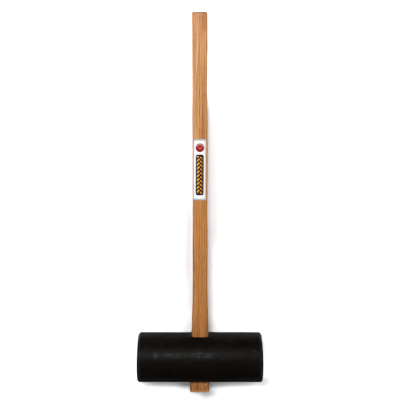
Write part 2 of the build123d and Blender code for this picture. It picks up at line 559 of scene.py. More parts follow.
def build_label():
    width = float(LABEL_HI[0] - LABEL_LO[0])
    mid_x = float(LABEL_LO[0] + LABEL_HI[0]) / 2
    z0, z1 = float(LABEL_LO[2]), float(LABEL_HI[2])
    mid_z = (z0 + z1) / 2
    nx, nz = 46, 190
    u = np.linspace(-width / 2, width / 2, nx + 1)
    w = np.linspace(z0, z1, nz + 1)
    gu, gw = np.meshgrid(u, w, indexing="ij")
    gu, gw = gu.ravel(), gw.ravel()
    # rounded corners: pull the border's corner points in along their arc
    rc = 1.6
    hx, hz = width / 2, (z1 - z0) / 2
    ax, az = np.abs(gu), np.abs(gw - mid_z)
    ox, oz = np.maximum(ax - (hx - rc), 0), np.maximum(az - (hz - rc), 0)
    m = np.maximum(ox, oz)
    length = np.hypot(ox, oz)
    k = np.where(length > 1e-9, m / np.maximum(length, 1e-9), 1.0)
    both = (ox > 0) & (oz > 0)
    ax = np.where(both, (hx - rc) + ox * k, ax)
    az = np.where(both, (hz - rc) + oz * k, az)
    gu = np.sign(gu) * ax
    gw = mid_z + np.sign(gw - mid_z) * az
    # laid on by hand, a third of a degree out of true
    c, s = math.cos(LABEL_TILT), math.sin(LABEL_TILT)
    x = mid_x + gu * c + (gw - mid_z) * s
    z = -gu * s + (gw - mid_z) * c + mid_z
    hw, hd = half_w_at(z), half_d_at(z)
    over = np.maximum(np.abs(x - set_at(z)) - (hw - ARRIS), 0.0)
    fall = ARRIS - np.sqrt(np.maximum(ARRIS**2 - over**2, 0.0))
    p = np.column_stack([x, np.zeros_like(x), z])
    ripple = 0.05 * noise(p, (9, 1, 26), 61) + 0.035 * noise(p, (3.4, 1, 5), 62)
    edge = np.minimum(hx - np.abs(gu), hz - np.abs(gw - mid_z))
    end = hz - np.abs(gw - mid_z)
    lift = 0.16 * np.exp(-end / 1.8) * (0.6 + 0.5 * noise(p, (9, 1, 400), 63))
    corner = np.hypot(hx - np.abs(gu), end)
    lift += 0.30 * np.exp(-corner / 2.4) * ((gu * (gw - mid_z)) > 0)
    bubble = 0.16 * np.exp(-(((x - 9.0) / 2.2) ** 2 + ((z - 505.0) / 5.0) ** 2))
    bubble += 0.12 * np.exp(-(((x + 10.5) / 1.8) ** 2 + ((z - 561.0) / 7.0) ** 2))
    off = 0.17 + ripple * smooth(0, 1.5, edge) + lift + bubble
    y_front = -(hd - fall) - off
    y_back = -(hd - fall) - off + 0.11
    front = np.column_stack([x, y_front, z])
    back = np.column_stack([x, y_back, z])
    v = np.concatenate([front, back])
    n = len(front)
    faces = []

    def at(i, j):
        return i * (nz + 1) + j

    for i in range(nx):
        for j in range(nz):
            q = (at(i, j), at(i + 1, j), at(i + 1, j + 1), at(i, j + 1))
            faces.append(q)
            faces.append(tuple(n + a for a in q[::-1]))
    rim = (
        [at(i, 0) for i in range(nx)]
        + [at(nx, j) for j in range(nz)]
        + [at(i, nz) for i in range(nx, 0, -1)]
        + [at(0, j) for j in range(nz, 0, -1)]
    )
    for a, b in zip(rim, rim[1:] + rim[:1]):
        faces.append((b, a, n + a, n + b))
    obj = make_mesh("maul_label", v, faces)
    face_out(obj)
    return obj


# ------------------------------------------------------------------ materials
def lin(r, g, b):
    """sRGB 0-255 to linear."""
    def f(c):
        c = c / 255.0
        return c / 12.92 if c <= 0.04045 else ((c + 0.055) / 1.055) ** 2.4
    return (f(r), f(g), f(b), 1.0)


class Nodes:
    def __init__(self, name):
        self.mat = bpy.data.materials.new(name)
        self.mat.use_nodes = True
        self.tree = self.mat.node_tree
        self.tree.nodes.clear()
        self.out = self.tree.nodes.new("ShaderNodeOutputMaterial")

    def new(self, kind, **props):
        node = self.tree.nodes.new(kind)
        for k, v in props.items():
            setattr(node, k, v)
        return node

    def put(self, socket, value):
        if value is None:
            return
        if isinstance(value, bpy.types.NodeSocket):
            self.tree.links.new(value, socket)
        elif hasattr(socket, "default_value"):
            current = socket.default_value
            if hasattr(current, "__len__") and not hasattr(value, "__len__"):
                socket.default_value = [value] * len(current)
            else:
                socket.default_value = value

    def m(self, op, a, b=None, c=None, clamp=False):
        node = self.new("ShaderNodeMath", operation=op, use_clamp=clamp)
        for i, v in enumerate((a, b, c)):
            self.put(node.inputs[i], v)
        return node.outputs[0]

    def add(self, a, b):
        return self.m("ADD", a, b)

    def sub(self, a, b):
        return self.m("SUBTRACT", a, b)

    def mul(self, a, b):
        return self.m("MULTIPLY", a, b)

    def step(self, x, lo, hi, out_lo=0.0, out_hi=1.0):
        node = self.new("ShaderNodeMapRange", interpolation_type="SMOOTHSTEP", clamp=True)
        self.put(node.inputs["Value"], x)
        self.put(node.inputs["From Min"], lo)
        self.put(node.inputs["From Max"], hi)
        self.put(node.inputs["To Min"], out_lo)
        self.put(node.inputs["To Max"], out_hi)
        return node.outputs[0]

    def vec(self, x, y, z):
        node = self.new("ShaderNodeCombineXYZ")
        for i, v in enumerate((x, y, z)):
            self.put(node.inputs[i], v)
        return node.outputs[0]

    def split(self, v):
        node = self.new("ShaderNodeSeparateXYZ")
        self.put(node.inputs[0], v)
        return node.outputs[0], node.outputs[1], node.outputs[2]

    def vm(self, op, a, b=None):
        node = self.new("ShaderNodeVectorMath", operation=op)
        self.put(node.inputs[0], a)
        if b is not None:
            self.put(node.inputs[1], b)
        return node.outputs["Value"] if op in ("LENGTH", "DISTANCE", "DOT_PRODUCT") else node.outputs[0]

    def noise(self, vec, scale=1.0, detail=2.0, rough=0.5, distort=0.0):
        node = self.new("ShaderNodeTexNoise", noise_dimensions="3D")
        self.put(node.inputs["Vector"], vec)
        node.inputs["Scale"].default_value = scale
        node.inputs["Detail"].default_value = detail
        node.inputs["Roughness"].default_value = rough
        node.inputs["Distortion"].default_value = distort
        return node.outputs[0]

    def ramp(self, fac, stops, interp="LINEAR"):
        node = self.new("ShaderNodeValToRGB")
        node.color_ramp.interpolation = interp
        els = node.color_ramp.elements
        while len(els) > 1:
            els.remove(els[-1])
        els[0].position, els[0].color = stops[0][0], stops[0][1]
        for pos, col in stops[1:]:
            e = els.new(pos)
            e.color = col
        self.put(node.inputs[0], fac)
        return node.outputs[0]

    def mix(self, fac, a, b, blend="MIX"):
        node = self.new("ShaderNodeMix", data_type="RGBA", blend_type=blend)
        node.clamp_factor = True
        self.put(node.inputs["Factor"], fac)
        ins = [i for i in node.inputs if i.type == "RGBA"]
        self.put(ins[0], a)
        self.put(ins[1], b)
        return [o for o in node.outputs if o.type == "RGBA"][0]

    def gray(self, v):
        node = self.new("ShaderNodeCombineColor")
        for i in range(3):
            self.put(node.inputs[i], v)
        return node.outputs[0]

    def bump(self, height, distance, strength=1.0, normal=None):
        node = self.new("ShaderNodeBump")
        node.inputs["Strength"].default_value = strength
        node.inputs["Distance"].default_value = distance
        self.put(node.inputs["Height"], height)
        if normal is not None:
            self.put(node.inputs["Normal"], normal)
        return node.outputs[0]

    def mm(self):
        """Object position in millimetres, and its three parts."""
        tc = self.new("ShaderNodeTexCoord")
        p = self.vm("MULTIPLY", tc.outputs["Object"], (1000.0, 1000.0, 1000.0))
        self.tc = tc
        return (p,) + self.split(p)

    def principled(self, **kw):
        bsdf = self.new("ShaderNodeBsdfPrincipled")
        for k, v in kw.items():
            self.put(bsdf.inputs[k], v)
        self.tree.links.new(bsdf.outputs[0], self.out.inputs["Surface"])
        return bsdf


def blob(t, x, z, cx, cz, rx, rz):
    """A soft spot on the front face, 1 in its middle."""
    dx = t.mul(t.sub(x, cx), 1.0 / rx)
    dz = t.mul(t.sub(z, cz), 1.0 / rz)
    r = t.m("SQRT", t.add(t.mul(dx, dx), t.mul(dz, dz)))
    return t.step(r, 1.0, 0.25)


def wood_material():
    t = Nodes("maul_wood")
    p, x, y, z = t.mm()
    # the tree's heart lies off behind the left arris, and wanders along the handle
    drift = t.noise(t.vm("MULTIPLY", p, (0.010, 0.010, 0.0052)), 1.0, 1.0)
    drift2 = t.noise(t.vm("MULTIPLY", p, (0.05, 0.05, 0.019)), 1.0, 2.0)
    lean = t.mul(t.m("MAXIMUM", t.sub(250.0, z), 0.0), 0.11)
    wx = t.add(t.add(x, t.mul(t.sub(drift, 0.5), 46.0)), t.add(t.mul(t.sub(drift2, 0.5), 9.0), lean))
    wy = t.add(y, t.mul(t.sub(drift2, 0.5), 12.0))
    rx, ry = t.add(wx, 74.0), t.sub(wy, 46.0)
    rho = t.m("SQRT", t.add(t.mul(rx, rx), t.mul(ry, ry)))
    ringn = t.noise(t.vm("MULTIPLY", p, (0.30, 0.30, 0.010)), 1.0, 2.0)
    u = t.add(t.mul(rho, 1.0 / 4.3), t.mul(ringn, 1.3))
    f = t.m("FRACT", u)
    year = t.noise(t.vec(t.m("FLOOR", u), 3.7, 1.3), 2.37, 0.0)
    # early wood opens dark and coarse, then each year runs out pale and dense
    ring_tone = t.ramp(f, [
        (0.0, (0.30,) * 3 + (1,)), (0.10, (0.10,) * 3 + (1,)), (0.30, (0.45,) * 3 + (1,)),
        (0.62, (0.85,) * 3 + (1,)), (0.93, (1.0,) * 3 + (1,)), (1.0, (0.30,) * 3 + (1,)),
    ])
    early = t.ramp(f, [(0.0, (0.7,) * 3 + (1,)), (0.12, (1.0,) * 3 + (1,)), (0.42, (0.0,) * 3 + (1,)),
                       (0.95, (0.0,) * 3 + (1,)), (1.0, (0.7,) * 3 + (1,))])
    streak = t.noise(t.vm("MULTIPLY", p, (0.34, 0.34, 0.0042)), 1.0, 3.0, 0.55)
    streak_w = t.noise(t.vm("MULTIPLY", p, (0.12, 0.12, 0.0030)), 1.0, 1.0)
    fibre = t.noise(t.vm("MULTIPLY", p, (1.9, 1.9, 0.028)), 1.0, 3.0, 0.6)
    fleck = t.noise(t.vm("MULTIPLY", p, (3.6, 3.6, 0.55)), 1.0, 1.0)

    tone = t.add(
        t.add(t.mul(ring_tone, 0.34), t.mul(t.mul(t.sub(streak, 0.5), t.step(z, 420.0, 700.0, 1.45, 2.3)), t.step(z, 170.0, 300.0, 0.70, 1.0))),
        t.add(t.mul(t.sub(fibre, 0.5), 0.85), t.mul(t.sub(year, 0.5), 0.6)),
    )
    tone = t.add(t.add(tone, 0.33), t.mul(t.sub(streak_w, 0.5), 0.7))
    # pale, slightly pink upper half; deeper and more orange lower down
    high = t.ramp(tone, [(0.0, lin(140, 78, 32)), (0.35, lin(174, 112, 57)), (0.62, lin(195, 135, 78)), (1.0, lin(211, 159, 106))])
    low = t.ramp(tone, [(0.0, lin(134, 75, 26)), (0.35, lin(164, 99, 40)), (0.62, lin(182, 117, 52)), (1.0, lin(198, 138, 72))])
    color = t.mix(t.step(z, 740.0, 400.0), high, low)
    # towards the head the wood is darker and greyer in tone
    color = t.mix(t.step(z, 240.0, 120.0, 0.0, 0.40), color, t.mix(1.0, color, lin(200, 186, 172), "MULTIPLY"))
    # single streaks that stand out on the front face: x, middle z, reach, half width, lean, strength
    sway = t.mul(t.sub(t.noise(t.vec(0.0, 0.0, t.mul(z, 0.021)), 1.0, 1.0), 0.5), 5.0)
    on_front = t.step(y, -6.0, -10.0)
    pale, deep = None, None
    for sx0, sz0, reach, wide, lean_, k in (
        (-7.9, 815.0, 62.0, 1.3, 0.022, 1.5), (1.2, 838.0, 90.0, 1.4, 0.004, 0.8),
        (-14.4, 880.0, 34.0, 1.6, 0.0, 0.35), (-3.2, 700.0, 60.0, 1.4, -0.02, 0.45),
        (8.6, 690.0, 52.0, 1.5, 0.01, 0.40), (0.9, 176.0, 40.0, 1.7, -0.02, 0.60),
        (-8.8, 162.0, 30.0, 1.9, -0.03, 0.65), (-11.5, 640.0, 40.0, 1.4, 0.01, 0.40),
        (5.0, 330.0, 60.0, 1.6, 0.01, 0.30), (-4.4, 396.0, 50.0, 3.0, 0.0, 0.85),
        (-3.0, 806.0, 50.0, -1.4, 0.022, 0.9), (4.6, 820.0, 90.0, -1.6, 0.004, 0.85),
        (10.9, 770.0, 50.0, -1.6, -0.012, 0.9), (-11.8, 868.0, 46.0, -1.3, 0.0, 0.25),
        (-9.4, 708.0, 50.0, -1.3, 0.015, 0.45), (8.6, 655.0, 46.0, -2.0, 0.0, 0.28), (12.8, 652.0, 62.0, -2.8, 0.0, 0.60),
        (17.4, 858.0, 90.0, 3.2, 0.0, 1.6), (5.2, 196.0, 46.0, -1.4, -0.02, 0.30),
        (14.8, 158.0, 30.0, -2.6, 0.0, 0.90), (-16.8, 150.0, 20.0, -2.2, 0.0, 0.55),
        (-16.6, 340.0, 150.0, -2.2, 0.0, 0.7), (10.6, 270.0, 70.0, -1.2, 0.01, 0.35),
        (-7.5, 300.0, 70.0, -1.3, -0.01, 0.35),
        (-15.6, 884.0, 60.0, 4.6, 0.0, 1.5), (-1.2, 888.0, 28.0, 2.6, 0.0, 0.8),
        (-13.6, 700.0, 110.0, -5.0, 0.0, 0.52), (-12.6, 366.0, 150.0, -4.4, 0.0, 0.46),
        (-0.6, 340.0, 90.0, 3.4, 0.0, 0.45), (-4.4, 176.0, 66.0, 4.0, -0.02, 1.25),
        (4.8, 176.0, 66.0, 3.8, 0.0, 0.9), (4.8, 424.0, 60.0, -4.0, 0.0, 0.45), (4.0, 318.0, 46.0, 4.0, 0.0, 0.7),
    ):
        off = t.m("ABSOLUTE", t.sub(t.add(x, sway), t.add(t.mul(t.sub(z, sz0), lean_), sx0)))
        line = t.mul(t.step(off, abs(wide) * 1.25, 0.0), t.step(t.m("ABSOLUTE", t.sub(z, sz0)), reach, reach * 0.45))
        line = t.mul(line, k)
        if wide > 0:
            pale = line if pale is None else t.m("MAXIMUM", pale, line)
        else:
            deep = line if deep is None else t.m("MAXIMUM", deep, line)
    pale, deep = t.mul(pale, on_front), t.mul(deep, on_front)
    color = t.mix(t.m("MINIMUM", t.mul(pale, 0.55), 1.0), color, t.mix(1.0, color, (1.15, 1.24, 1.42, 1.0), "MULTIPLY"))
    color = t.mix(t.m("MINIMUM", t.mul(deep, 0.75), 1.0), color, t.mix(1.0, color, (0.70, 0.63, 0.52, 1.0), "MULTIPLY"))
    # one thin, nearly white line of grain below the scratch
    thin = t.m("ABSOLUTE", t.sub(t.add(x, sway), t.add(t.mul(t.sub(z, 815.0), 0.022), -7.6)))
    thin = t.mul(t.step(thin, 1.25, 0.2), t.step(t.m("ABSOLUTE", t.sub(z, 815.0)), 60.0, 30.0))
    color = t.mix(t.mul(t.mul(thin, on_front), 0.42), color, lin(228, 196, 166))
    # the front arrises up the handle are painted paler: painted light, as they turn away from the lamps
    arris = t.add(t.step(x, 13.9, 15.4), t.step(x, -13.9, -15.4))
    arris = t.mul(t.mul(arris, on_front), t.step(z, 600.0, 760.0))
    color = t.mix(t.mul(arris, 0.62), color, t.mix(1.0, color, (1.26, 1.42, 1.62, 1.0), "MULTIPLY"))
    # a darker band of heartwood at the grip, on the right
    band = t.mul(t.step(t.add(x, t.mul(t.sub(drift2, 0.5), 3.0)), 2.4, 4.4), t.step(z, 858.0, 880.0))
    color = t.mix(t.mul(t.mul(band, t.step(x, 12.0, 17.0, 1.0, 0.45)), 0.72), color, lin(161, 99, 36))
    # the right front arris below the grip is painted darker: painted shade, with the light from the left
    right = t.mul(t.step(x, 10.5, 17.0), t.step(y, -9.0, -13.0))
    color = t.mix(t.mul(right, t.step(z, 740.0, 800.0, 0.30, 0.0)), color, lin(150, 96, 50))
    # open pores in the early wood: short dark dashes
    pore_n = t.noise(t.vm("MULTIPLY", p, (2.7, 2.7, 0.13)), 1.0, 1.0, 0.4)
    pore = t.mul(t.step(pore_n, 0.585, 0.66), t.add(t.mul(early, 0.75), 0.16))
    color = t.mix(t.mul(pore, 0.55), color, lin(120, 70, 34))
    color = t.mix(t.mul(t.step(fleck, 0.63, 0.72), 0.16), color, lin(236, 196, 150))
    # small marks
    marks = None
    for cx, cz, ax, az, k in (
        (-8.6, 880.9, 1.0, 2.2, 0.55), (-9.1, 837.1, 1.1, 2.6, 0.6), (2.4, 714.3, 0.9, 1.7, 0.6),
        (10.8, 366.0, 2.6, 1.0, 0.55), (13.2, 202.5, 1.6, 1.5, 0.7), (-12.0, 458.0, 0.8, 2.4, 0.4),
        (15.8, 153.0, 1.4, 9.0, 0.6), (-5.0, 610.5, 0.7, 1.6, 0.4), (6.5, 520.0, 0.7, 1.6, 0.0),
        (-13.6, 660.0, 0.9, 3.2, 0.4), (5.2, 288.0, 0.8, 2.2, 0.45), (-10.0, 176.0, 0.8, 4.0, 0.4),
    ):
        b = t.mul(blob(t, x, z, cx, cz, ax, az), k)
        marks = b if marks is None else t.m("MAXIMUM", marks, b)
    # diagonal scratch near the grip
    s_t = t.m("MAXIMUM", t.m("MINIMUM", t.mul(t.add(t.mul(t.add(x, 5.4), 13.0), t.mul(t.sub(z, 858.2), 7.4)), 1 / 223.8), 1.0), 0.0)
    sx = t.sub(x, t.sub(t.mul(s_t, 13.0), 5.4))
    sz = t.sub(z, t.add(t.mul(s_t, 7.4), 858.2))
    s_d = t.m("SQRT", t.add(t.mul(sx, sx), t.mul(sz, sz)))
    scratch = t.mul(t.step(s_d, 1.2, 0.2), t.step(s_t, 1.0, 0.35, 0.2, 0.5))
    marks = t.m("MAXIMUM", marks, scratch)
    marks = t.mul(marks, t.step(y, -8.0, -11.0))
    color = t.mix(marks, color, lin(132, 74, 42))
    # faint grey handling dirt
    dirt = t.noise(t.vm("MULTIPLY", p, (0.05, 0.05, 0.016)), 1.0, 4.0, 0.62)
    color = t.mix(t.step(dirt, 0.52, 0.78, 0.0, 0.22), color, t.mix(1.0, color, lin(206, 196, 190), "MULTIPLY"))
    # end grain
    nx_, ny_, nz_ = t.split(t.tc.outputs["Normal"])
    end = t.step(t.m("ABSOLUTE", nz_), 0.55, 0.92)
    dots = t.noise(t.vm("MULTIPLY", p, (1.9, 1.9, 0.0)), 1.0, 2.0, 0.6)
    end_col = t.mix(t.step(dots, 0.50, 0.66, 0.0, 0.65), t.mix(1.0, color, lin(214, 196, 178), "MULTIPLY"), lin(104, 66, 38))
    color = t.mix(end, color, end_col)
    color = t.mix(t.step(z, 886.0, 906.0, 0.0, 0.30), color, t.mix(1.0, color, lin(212, 200, 188), "MULTIPLY"))
    color = t.mix(t.step(z, 911.6, 912.6, 0.0, 0.75), color, lin(122, 70, 34))
    patch = t.mul(t.mul(t.step(z, 902.0, 906.5), t.step(z, 911.5, 909.5)), t.mul(t.step(x, -7.0, -3.0), t.step(x, 15.0, 11.0)))
    color = t.mix(t.mul(t.mul(patch, on_front), 0.08), color, lin(236, 204, 168))
    # the stub's sides are painted darker: painted shade where its rounding turns away from the light
    color = t.mix(t.mul(t.step(z, 30.0, 24.0), t.step(t.m("ABSOLUTE", t.add(x, 1.0)), 19.0, 23.0, 0.0, 0.40)), color, t.mix(1.0, color, lin(190, 176, 160), "MULTIPLY"))
    # the stub below the head is speckled, with coarse upright grain, and its bottom edge is painted paler
    stub = t.step(z, 30.0, 24.0)
    bend = t.mul(t.sub(t.noise(t.vm("MULTIPLY", p, (0.12, 0.12, 0.16)), 1.0, 1.0), 0.5), 5.0)
    bar = t.noise(t.vm("MULTIPLY", t.vec(t.add(x, bend), y, z), (0.30, 0.30, 0.035)), 1.0, 2.0, 0.6)
    color = t.mix(t.mul(stub, t.step(bar, 0.52, 0.38, 0.0, 0.60)), color, lin(116, 70, 33))
    color = t.mix(t.mul(stub, t.step(bar, 0.50, 0.62, 0.0, 0.55)), color, lin(222, 170, 112))
    speck = t.noise(t.vm("MULTIPLY", p, (0.75, 0.75, 0.40)), 1.0, 3.0, 0.6)
    color = t.mix(t.mul(stub, t.step(speck, 0.50, 0.64, 0.0, 0.45)), color, lin(112, 66, 32))
    # the bottom edge painted paler: painted highlight where its rounding catches the light
    color = t.mix(t.mul(stub, t.step(z, 8.0, 2.0, 0.0, 0.30)), color, lin(236, 188, 132))

    height = t.add(t.mul(fibre, 0.45), t.add(t.mul(ring_tone, 0.5), t.mul(pore, -1.2)))
    height = t.add(height, t.mul(marks, -1.4))
    normal = t.bump(height, 0.00022, 0.55)
    rough = t.add(0.50, t.add(t.mul(pore, 0.22), t.mul(t.sub(dirt, 0.5), 0.25)))
    t.principled(**{"Base Color": color, "Roughness": rough, "Normal": normal, "Specular IOR Level": 0.35,
                    "Coat Weight": 0.05, "Coat Roughness": 0.35})
    return t.mat


def rubber_material():
    t = Nodes("maul_rubber")
    p, x, y, z = t.mm()
    broad = t.noise(t.vm("MULTIPLY", p, (0.014, 0.02, 0.02)), 1.0, 2.0, 0.5)
    mid = t.noise(t.vm("MULTIPLY", p, (0.06, 0.10, 0.10)), 1.0, 3.0, 0.55)
    fine = t.noise(p, 0.9, 3.0, 0.6)
    base = t.ramp(broad, [(0.3, (0.0031, 0.0024, 0.0018, 1)), (0.7, (0.0047, 0.0038, 0.0030, 1))])
    # a trace of bloom, rubbed thin, mostly on the upper half
    upper = t.step(z, 60.0, 105.0, 0.25, 1.0)
    dust = t.mul(t.step(mid, 0.52, 0.78), upper)
    base = t.mix(t.mul(dust, 0.10), base, (0.050, 0.049, 0.047, 1))
    # scuffs along the front, mostly left of the middle, laid on the highlight's rows and pale enough to carry part of
    # it: scuffs and painted highlight
    s1 = blob(t, x, z, -105.0, 104.0, 9.0, 9.5)
    s2 = blob(t, x, z, -56.0, 104.0, 42.0, 7.5)
    s3 = blob(t, x, z, 4.0, 104.5, 46.0, 10.0)
    s4 = blob(t, x, z, 112.0, 100.0, 20.0, 12.0)
    smear = t.step(t.noise(t.vm("MULTIPLY", p, (0.075, 0.2, 0.30)), 1.0, 4.0, 0.7), 0.38, 0.66)
    scuff_and_highlight = t.m("MAXIMUM", t.mul(s1, 1.0), t.m("MAXIMUM", t.mul(s2, 0.75), t.mul(s3, 0.85)))
    scuff_and_highlight = t.mul(t.mul(scuff_and_highlight, smear), t.step(y, -20.0, -34.0))
    base = t.mix(t.mul(scuff_and_highlight, 0.34), base, (0.072, 0.071, 0.070, 1))
    # fine hair scratches, nearly level
    hair_n = t.noise(t.vm("MULTIPLY", p, (0.020, 0.6, 0.95)), 1.0, 2.0, 0.5)
    hair = t.mul(t.step(hair_n, 0.675, 0.72), t.step(mid, 0.44, 0.60))
    base = t.mix(t.mul(hair, 0.10), base, (0.060, 0.059, 0.057, 1))
    fleck = t.step(t.noise(p, 0.42, 0.0, 0.5), 0.80, 0.84)
    base = t.mix(t.mul(fleck, 0.10), base, (0.12, 0.115, 0.11, 1))
    spot = t.mul(blob(t, x, z, 128.5, 112.0, 1.9, 1.9), t.step(y, -20.0, -34.0))
    base = t.mix(t.mul(spot, 0.12), base, (0.30, 0.29, 0.28, 1))
    # the barrel's underside is painted paler, most towards both ends and more at the right one: painted reflection of
    # the pale surface below
    painted_underside_sheen = t.add(t.step(t.m("ABSOLUTE", x), 30.0, 115.0, 0.30, 0.72), t.step(x, 60.0, 135.0, 0.0, 0.28))
    painted_underside_sheen = t.mul(t.mul(painted_underside_sheen, t.step(z, 56.0, 34.0)), t.step(mid, 0.30, 0.62, 0.75, 1.0))
    base = t.mix(painted_underside_sheen, base, (0.0205, 0.0193, 0.0180, 1))
    # strike faces pick up more dust than the barrel
    nx_, ny_, nz_ = t.split(t.tc.outputs["Normal"])
    face = t.step(t.m("ABSOLUTE", nx_), 0.75, 0.97)
    grit = t.step(t.noise(p, 0.22, 5.0, 0.65), 0.42, 0.70)
    base = t.mix(t.mul(t.mul(face, grit), 0.45), base, (0.060, 0.058, 0.055, 1))
    ring = t.m("SQRT", t.add(t.mul(y, y), t.mul(t.sub(z, HEAD_Z), t.sub(z, HEAD_Z))))
    worn = t.mul(face, t.step(ring, 46.0, 30.0))
    base = t.mix(t.mul(worn, 0.16), base, (0.085, 0.082, 0.078, 1))
    # the rounded rims are painted a little paler, broken up by grit: a painted highlight where the rounding begins,
    # with scuffs
    rim = t.mul(t.step(t.m("ABSOLUTE", x), 140.5, 143.5), t.step(t.m("ABSOLUTE", x), 149.4, 145.0))
    base = t.mix(t.mul(rim, t.add(t.mul(grit, 0.16), 0.08)), base, (0.070, 0.068, 0.066, 1))
    rough = t.add(0.50, t.add(t.mul(t.sub(mid, 0.5), 0.10), t.mul(t.sub(broad, 0.5), 0.22)))
    rough = t.sub(rough, t.mul(scuff_and_highlight, 0.10))
    rough = t.add(rough, t.mul(s4, 0.06))
    height = t.add(t.mul(fine, 0.5), t.mul(t.noise(p, 0.28, 3.0, 0.5), 0.9))
    height = t.sub(height, t.mul(hair, 0.8))
    normal = t.bump(height, 0.00013, 0.35)
    t.principled(**{"Base Color": base, "Roughness": rough, "Normal": normal, "Specular IOR Level": 0.085})
    return t.mat


def label_material():
    t = Nodes("maul_label_print")
    p, x0, y, z0 = t.mm()
    z_mid = float(LABEL_LO[2] + LABEL_HI[2]) / 2
    # design axes follow the slightly crooked label
    c, s = math.cos(LABEL_TILT), math.sin(LABEL_TILT)
    zr = t.sub(z0, z_mid)
    xr = t.sub(x0, float(LABEL_LO[0] + LABEL_HI[0]) / 2)
    u = t.sub(t.mul(xr, c), t.mul(zr, s))
    w = t.add(t.mul(xr, s), t.mul(zr, c))
    z = t.add(w, z_mid)

    def rounded(cx, cz, hx, hz, r):
        qx = t.sub(t.m("ABSOLUTE", t.sub(u, cx)), hx - r)
        qz = t.sub(t.m("ABSOLUTE", t.sub(z, cz)), hz - r)
        mx, mz = t.m("MAXIMUM", qx, 0.0), t.m("MAXIMUM", qz, 0.0)
        out = t.m("SQRT", t.add(t.mul(mx, mx), t.mul(mz, mz)))
        inn = t.m("MINIMUM", t.m("MAXIMUM", qx, qz), 0.0)
        return t.sub(t.add(out, inn), r)

    ink = t.noise(p, 1.4, 3.0, 0.6)
    color = t.ramp(ink, [(0.3, lin(233, 233, 232)), (0.7, lin(244, 244, 242))])
    # grey margins, narrow at the sides and wider at both ends: the sides are painted grey where the label turns round
    # the arrises (painted shade); the ends carry a greyer band and a darker line at the very edge
    wide = float(LABEL_HI[0] - LABEL_LO[0]) / 2
    half = float(LABEL_HI[2] - LABEL_LO[2]) / 2
    color = t.mix(t.step(u, 5.0, wide - 2.2, 0.0, 0.42), color, lin(200, 199, 198))
    color = t.mix(t.step(u, -(wide - 3.2), -(wide - 0.8), 0.0, 0.30), color, lin(184, 180, 174))
    color = t.mix(t.step(u, wide - 3.0, wide - 1.6, 0.0, 0.60), color, lin(170, 164, 158))
    end = t.m("ABSOLUTE", w)
    color = t.mix(t.step(end, half - 4.4, half - 3.2, 0.0, 0.9), color, lin(176, 180, 189))
    color = t.mix(t.step(end, half - 1.1, half - 0.5, 0.0, 0.5), color, lin(150, 140, 136))
    # navy panel with a thin lighter blue edge
    d = rounded(-0.3, 522.4, 9.65, 49.0, 4.8)
    color = t.mix(t.step(d, 0.2, -0.2), color, lin(52, 48, 124))
    color = t.mix(t.step(d, -0.6, -1.3), color, lin(6, 1, 38))
    # herringbone paving: amber blocks with wide navy joints and a dark gold edge on their right
    inside = t.mul(t.step(d, -2.8, -3.2), t.step(t.m("ABSOLUTE", t.sub(z, 522.4)), 45.6, 45.0))
    cell, joint = 6.6, 3.4
    diag = 1.0 / (math.sqrt(2.0) * cell)

    def paving(shift_u, shift_z, grow):
        uu = t.sub(u, -0.3 - 1.06 * cell + shift_u)
        zz = t.sub(z, 522.4 + shift_z)
        q1, q2 = t.mul(t.add(zz, uu), diag), t.mul(t.sub(zz, uu), diag)
        i, j = t.m("FLOOR", q1), t.m("FLOOR", q2)
        f1, f2 = t.sub(q1, i), t.sub(q2, j)
        turn = t.m("FLOORED_MODULO", t.sub(i, j), 4.0)
        # 0, 1: the two halves of a block rising to the right; 3, 2: of one rising to the left
        rise = t.step(turn, 1.6, 1.4)
        second = t.mul(t.step(turn, 0.4, 0.6), t.step(turn, 2.6, 2.4))
        along = t.add(t.add(t.mul(rise, f1), t.mul(t.sub(1.0, rise), f2)), second)
        over = t.add(t.mul(rise, f2), t.mul(t.sub(1.0, rise), f1))
        r = 0.7
        qx = t.sub(t.mul(t.m("ABSOLUTE", t.sub(along, 1.0)), cell), cell - joint / 2 - r + grow)
        qz = t.sub(t.mul(t.m("ABSOLUTE", t.sub(over, 0.5)), cell), cell / 2 - joint / 2 - r + grow)
        mx, mz = t.m("MAXIMUM", qx, 0.0), t.m("MAXIMUM", qz, 0.0)
        return t.sub(t.add(t.m("SQRT", t.add(t.mul(mx, mx), t.mul(mz, mz))), t.m("MINIMUM", t.m("MAXIMUM", qx, qz), 0.0)), r)

    color = t.mix(t.mul(inside, t.step(paving(0.9, -0.3, 0.2), 0.15, -0.15)), color, lin(104, 62, 3))
    amber = t.ramp(t.mul(t.add(u, 8.3), 1 / 16.0), [
        (0.0, lin(222, 154, 28)), (0.45, lin(246, 190, 36)), (0.62, lin(220, 152, 22)), (0.85, lin(140, 90, 8)), (1.0, lin(104, 64, 5))])
    color = t.mix(t.mul(inside, t.step(paving(0.0, 0.0, 0.0), 0.15, -0.15)), color, amber)
    # along the right of the panel the gold shadow runs on
    lip = t.mul(t.mul(t.step(d, -0.7, -1.1), t.step(d, -2.4, -2.1)), t.mul(t.step(u, 5.4, 6.6), t.step(t.m("ABSOLUTE", t.sub(z, 522.4)), 45.0, 42.0)))
    color = t.mix(t.mul(lip, 0.75), color, lin(104, 62, 3))
    # red disc: dark rim, paler towards the top, a soft light spot low in the middle
    dz = t.sub(z, 587.8)
    r = t.m("SQRT", t.add(t.mul(u, u), t.mul(dz, dz)))
    color = t.mix(t.step(r, 10.7, 10.3), color, lin(92, 56, 62))
    red = t.ramp(t.mul(t.add(dz, 9.5), 1 / 19.0), [
        (0.0, lin(118, 1, 1)), (0.40, lin(160, 5, 1)), (0.85, lin(156, 6, 2)), (1.0, lin(150, 50, 52))])
    color = t.mix(t.step(r, 9.7, 9.2), color, red)
